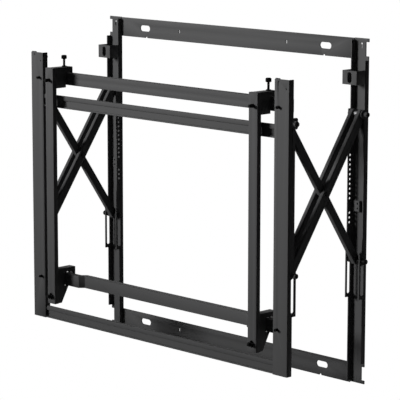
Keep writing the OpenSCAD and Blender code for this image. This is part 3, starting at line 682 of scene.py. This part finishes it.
# %% Bracket hardware
SCREW_LONG, SCREW_CORE_R = 0.0103, 0.0024
SHANK_LONG, SHANK_R = 0.004, 0.0032
SCREW_HEAD_R = 0.005
STAR_LONG, STAR_R, STAR_BORE = 0.0035, 0.0063, 0.00325
PRESSED_LONG, PRESSED_R, PRESSED_BORE = 0.002, 0.0042, 0.00235
THUMB_HEAD, THUMB_CORE_R, THUMB_END = 0.0139, 0.00195, 0.013
THUMB_PROFILE = ((0, 0), (0, 0.0033), (0.0009, 0.0046), (0.0064, 0.0046), (0.0073, 0.0037),
                 (0.0073, 0.0027), (0.0068, 0.0022), (0.0068, 0))     # height in the head, radius
FOOT_ROUND = 0.0004

for name, side in SIDE_NAMES.items():
    bm = bmesh.new()
    for z in SCREW_HEIGHTS:
        place = (side * BRACKET_X, 0, z)
        solid_bar(bm, place, "Y", BRACKET_FACE, BRACKET_FACE - SCREW_LONG, SCREW_CORE_R,
                  0.0001, 0.0008)
        solid_bar(bm, place, "Y", BRACKET_FACE + 0.003, BRACKET_FACE - SHANK_LONG, SHANK_R,
                  0.0001, 0.0003)
        solid_bar(bm, place, "Y", BRACKET_FACE + SHEET, BRACKET_FACE + 0.005, SCREW_HEAD_R,
                  0.0002, 0.0012)
    shaped(f"screen_screws_{name}", f"display_screws_{name}", bm, STEEL)

    bm = bmesh.new()
    place = (side * BRACKET_X, BRACKET_FACE - 0.0003, SCREW_HEIGHTS[0])
    sleeve(bm, place, "Y", -STAR_LONG, 0, STAR_R, STAR_BORE, 0.0006, "star")
    shaped(f"star_nut_{name}", f"lock_nut_{name}", bm, STEEL, sharp=STAR_SHARP)

    bm = bmesh.new()
    place = (side * BRACKET_X, THUMB_Y, BRACKET_TOP)
    sleeve(bm, place, "Z", 0, PRESSED_LONG, PRESSED_R, PRESSED_BORE, 0.0004)
    shaped(f"pressed_nut_{name}", f"press_nut_{name}", bm, STEEL)

    bm = bmesh.new()
    solid_bar(bm, place, "Z", TOP_BAR_Z + THUMB_END - BRACKET_TOP, THUMB_HEAD + 0.001,
              THUMB_CORE_R, 0.0004, 0.0001)
    sweep(bm, place, "Z", [(THUMB_HEAD + up, radius, "round") for up, radius in THUMB_PROFILE])
    shaped(f"thumb_knob_{name}", f"thumb_screw_{name}", bm, STEEL)

    rounded(f"screw_foot_{name}", f"nylon_foot_{name}", fold=FOOT_ROUND, cut=FOOT_ROUND,
            material=NYLON)

# %% [markdown]
# ## Threads, knurls and welds
# A thread is a ridge wound round a core, a knurl is one ridge repeated round a head, and a weld is
# a row of overlapping drops. Each follows a rule, so each is a small Geometry Nodes tree with its
# sizes as inputs. An array modifier could repeat the ridges, but it can't wind a helix or vary the
# drops. The trees end in Realize Instances and Set Material, and each result becomes a plain mesh.

# %% Node trees that grow the repeats
SMALLEST_DROP, LARGEST_DROP = 0.86, 1.12        # a weld drop's size against its named radius


def growth_tree(name, inputs):
    """An empty tree with the given inputs and one output, and its input node."""
    group = bpy.data.node_groups.new(name, "GeometryNodeTree")
    for label, kind, value in inputs:
        group_socket(group, label, kind, "INPUT", value)
    group_socket(group, "Geometry", "NodeSocketGeometry", "OUTPUT")
    return group, group.nodes.new("NodeGroupInput")


def step(group, kind, links=(), **settings):
    """Adds one node, sets its properties and values, and links its inputs."""
    node = group.nodes.new(kind)
    for key, value in settings.items():
        setattr(node, key, value)
    for socket, source in links:
        if hasattr(source, "is_output"):
            group.links.new(source, node.inputs[socket])
        else:
            node.inputs[socket].default_value = source
    return node


def finish_tree(group, given, geometry):
    """Ends a tree in Realize Instances and Set Material."""
    plain = step(group, "GeometryNodeRealizeInstances", [("Geometry", geometry)])
    coat = step(group, "GeometryNodeSetMaterial", [
        ("Geometry", plain.outputs[0]), ("Material", given.outputs["Finish"])])
    step(group, "NodeGroupOutput", [("Geometry", coat.outputs[0])])


def thread_tree():
    group, given = growth_tree("screw_thread", [
        ("Crest radius", "NodeSocketFloat", 0.0029), ("Depth", "NodeSocketFloat", 0.0004),
        ("Pitch", "NodeSocketFloat", 0.001), ("Length", "NodeSocketFloat", 0.006),
        ("Steps per turn", "NodeSocketInt", 28), ("Finish", "NodeSocketMaterial", None)])
    turns = step(group, "ShaderNodeMath", [
        (0, given.outputs["Length"]), (1, given.outputs["Pitch"])], operation="DIVIDE")
    radius = step(group, "ShaderNodeMath", [
        (0, given.outputs["Crest radius"]), (1, given.outputs["Depth"])], operation="SUBTRACT")
    helix = step(group, "GeometryNodeCurveSpiral", [
        ("Resolution", given.outputs["Steps per turn"]), ("Rotations", turns.outputs[0]),
        ("Start Radius", radius.outputs[0]), ("End Radius", radius.outputs[0]),
        ("Height", given.outputs["Length"])])
    upright = step(group, "GeometryNodeSetCurveNormal", [("Curve", helix.outputs[0])], mode="Z_UP")
    ridge = step(group, "GeometryNodeCurvePrimitiveCircle", [
        ("Resolution", 4), ("Radius", given.outputs["Depth"])])
    skin = step(group, "GeometryNodeCurveToMesh", [
        ("Curve", upright.outputs[0]), ("Profile Curve", ridge.outputs[0]), ("Fill Caps", True)])
    finish_tree(group, given, skin.outputs[0])
    return group


def knurl_tree():
    group, given = growth_tree("knurl_ring", [
        ("Count", "NodeSocketInt", 36), ("Radius", "NodeSocketFloat", 0.0046),
        ("Ridge", "NodeSocketFloat", 0.0005), ("Height", "NodeSocketFloat", 0.005),
        ("Finish", "NodeSocketMaterial", None)])
    ring = step(group, "GeometryNodeMeshCircle", [
        ("Vertices", given.outputs["Count"]), ("Radius", given.outputs["Radius"])])
    size = step(group, "ShaderNodeCombineXYZ", [
        ("X", given.outputs["Ridge"]), ("Y", given.outputs["Ridge"]),
        ("Z", given.outputs["Height"])])
    ridge = step(group, "GeometryNodeMeshCube", [("Size", size.outputs[0])])
    on_edge = step(group, "GeometryNodeTransform", [
        ("Geometry", ridge.outputs[0]), ("Rotation", (0, 0, math.pi / 4))])
    share = step(group, "ShaderNodeMath", [
        (0, 2 * math.pi), (1, given.outputs["Count"])], operation="DIVIDE")
    index = step(group, "GeometryNodeInputIndex")
    angle = step(group, "ShaderNodeMath", [
        (0, index.outputs[0]), (1, share.outputs[0])], operation="MULTIPLY")
    turn = step(group, "ShaderNodeCombineXYZ", [("Z", angle.outputs[0])])
    ridges = step(group, "GeometryNodeInstanceOnPoints", [
        ("Points", ring.outputs[0]), ("Instance", on_edge.outputs[0]),
        ("Rotation", turn.outputs[0])])
    finish_tree(group, given, ridges.outputs[0])
    return group


def weld_tree():
    group, given = growth_tree("weld_bead", [
        ("Drops", "NodeSocketInt", 9), ("Pitch", "NodeSocketFloat", 0.0011),
        ("Radius", "NodeSocketFloat", 0.0009), ("Seed", "NodeSocketInt", 3),
        ("Finish", "NodeSocketMaterial", None)])
    offset = step(group, "ShaderNodeCombineXYZ", [("Z", given.outputs["Pitch"])])
    row = step(group, "GeometryNodeMeshLine", [
        ("Count", given.outputs["Drops"]), ("Offset", offset.outputs[0])])
    drop = step(group, "GeometryNodeMeshIcoSphere", [
        ("Radius", given.outputs["Radius"]), ("Subdivisions", 2)])
    vary = step(group, "FunctionNodeRandomValue", [("Seed", given.outputs["Seed"])],
                data_type="FLOAT")
    vary.inputs[2].default_value, vary.inputs[3].default_value = SMALLEST_DROP, LARGEST_DROP
    drops = step(group, "GeometryNodeInstanceOnPoints", [
        ("Points", row.outputs[0]), ("Instance", drop.outputs[0]), ("Scale", vary.outputs[1])])
    finish_tree(group, given, drops.outputs[0])
    return group


THREAD, KNURL, WELD = thread_tree(), knurl_tree(), weld_tree()
print("trees", THREAD.name, KNURL.name, WELD.name)

# %% Growing a tree into a plain mesh
def grown(group, values):
    """Runs a tree once with these inputs and returns its result as a plain mesh."""
    obj = bpy.data.objects.new("growing", bpy.data.meshes.new("growing"))
    scene.collection.objects.link(obj)
    modifier = obj.modifiers.new("growth", "NODES")
    modifier.node_group = group
    for item in group.interface.items_tree:
        if item.item_type == "SOCKET" and item.in_out == "INPUT" and item.name in values:
            modifier[item.identifier] = values[item.name]
    mesh = baked(obj).data
    bpy.data.objects.remove(obj)
    return mesh


def planted(name, node, mesh, places, material, smooth=False):
    """Copies a grown mesh to each place as one piece that rides with a CAD node."""
    bm = bmesh.new()
    for place in places:
        before = len(bm.verts)
        bm.from_mesh(mesh)
        bm.verts.ensure_lookup_table()
        bmesh.ops.transform(bm, matrix=place, verts=bm.verts[before:])
    result = bpy.data.meshes.new(name)
    bm.to_mesh(result)
    bm.free()
    result.materials.clear()
    result.materials.append(material)
    if smooth:
        result.shade_smooth()
    piece = bpy.data.objects.new(name, result)
    scene.collection.objects.link(piece)
    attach(piece, body_of[node])
    print(name, "faces", len(result.polygons))
    return piece


TO_Y = Matrix.Rotation(-math.pi / 2, 4, "X")        # grows along Y instead of Z
print("places turn with", TO_Y.to_euler())

# %% Threads on screws and studs
SCREW_THREAD_TIP, THUMB_THREAD_END, STUD_THREAD_FROM = 0.0097, 0.0137, 0.0044
STUD_THREAD_CUT = 0.0052        # a stud's thread is this much shorter than the stud itself


def thread(crest, depth, pitch, length, steps):
    return grown(THREAD, {"Crest radius": crest, "Depth": depth, "Pitch": pitch, "Length": length,
                          "Steps per turn": steps, "Finish": STEEL})


screw_thread = thread(crest=0.0029, depth=0.0004, pitch=0.001, length=0.0052, steps=28)
thumb_thread = thread(crest=0.0023, depth=0.00032, pitch=0.0008, length=0.0208, steps=24)
for name, side in SIDE_NAMES.items():
    planted(f"screen_threads_{name}", f"display_screws_{name}", screw_thread,
            [Matrix.Translation((side * BRACKET_X, BRACKET_FACE - SCREW_THREAD_TIP, z)) @ TO_Y
             for z in SCREW_HEIGHTS], STEEL)
    planted(f"thumb_thread_{name}", f"thumb_screw_{name}", thumb_thread,
            [Matrix.Translation((side * BRACKET_X, THUMB_Y, TOP_BAR_Z + THUMB_THREAD_END))],
            STEEL)
    for level, z in (("top", TOP_BAR_Z), ("bottom", LOW_BAR_Z)):
        length = STUD_TIPS[level] - FRONT_FACE - STUD_THREAD_CUT
        stud_thread = thread(crest=STUD_R, depth=0.0004, pitch=0.001, length=length, steps=28)
        planted(f"stud_thread_{level}_{name}", f"depth_stud_{level}_{name}", stud_thread,
                [Matrix.Translation((side * STUD_X, FRONT_FACE + STUD_THREAD_FROM, z)) @ TO_Y],
                STEEL)

# %% Knurls on the thumb screws
KNURL_MIDDLE = 0.00365          # above the head's lower face

knurl = grown(KNURL, {"Count": 36, "Radius": 0.0046, "Ridge": 0.00055, "Height": 0.0052,
                      "Finish": STEEL})
for name, side in SIDE_NAMES.items():
    planted(f"thumb_knurl_{name}", f"thumb_screw_{name}", knurl,
            [Matrix.Translation((side * BRACKET_X, THUMB_Y,
                                 BRACKET_TOP + THUMB_HEAD + KNURL_MIDDLE))], STEEL)

# %% [markdown]
# The front pivot bolts have a bright zinc collar under a black crown. Painting the collar's part
# of the head would need a second material on one piece, so it is a ring of its own.

# %% Bright collars
RING_LONG, RING_HALF = 0.0055, 0.0002       # half of the ring's wall lies outside the head's skin

bm = bmesh.new()
for side in SIDE_NAMES.values():
    sleeve(bm, (0, FRONT_Y, PIVOT_Z), "X", side * SIDE_X, side * (SIDE_X + RING_LONG),
           HEAD_R + RING_HALF, HEAD_R - RING_HALF)
bmesh.ops.recalc_face_normals(bm, faces=bm.faces)
collars = bpy.data.meshes.new("collars")
bm.to_mesh(collars)
bm.free()
ring = planted("bright_collars", "front_pivot_bolts", collars, [Matrix.Identity(4)], ZINC,
               smooth=True)
ring.data.set_sharp_from_angle(angle=math.radians(SHARP))

# %% [markdown]
# The frames are welded where plates and cross bars meet the channels. Powder coat covers the
# beads, so they wear the same finish. They sit in the inner corners, where a real welder can
# reach and the screen's installer doesn't see them.

# %% Weld beads
DROPS, DROP_PITCH = 10, 0.0011
WELD_X = INNER_X - 0.0003
PLATE_WELD_Y, BAR_WELD_Y = -0.0023, FRONT_Y - 0.0048
PLATE_SHIFTS = (-0.011, 0.011)          # a plate's end has one bead below its middle and one above

bead = grown(WELD, {"Drops": DROPS, "Pitch": DROP_PITCH, "Radius": 0.0009, "Seed": 3,
                    "Finish": POWDER})
half = (DROPS - 1) * DROP_PITCH / 2
for level, z in (("top", 0.28), ("bottom", -0.281)):
    places = [Matrix.Translation((side * WELD_X, PLATE_WELD_Y, z + shift - half))
              for side in SIDE_NAMES.values() for shift in PLATE_SHIFTS]
    planted(f"plate_welds_{level}", f"wall_plate_{level}", bead, places, POWDER,
            smooth=True)
for level, z in (("top", 0.1538), ("bottom", -0.2431)):
    places = [Matrix.Translation((side * WELD_X, BAR_WELD_Y, z - half))
              for side in SIDE_NAMES.values()]
    planted(f"bar_welds_{level}", f"cross_bar_{level}", bead, places, POWDER,
            smooth=True)
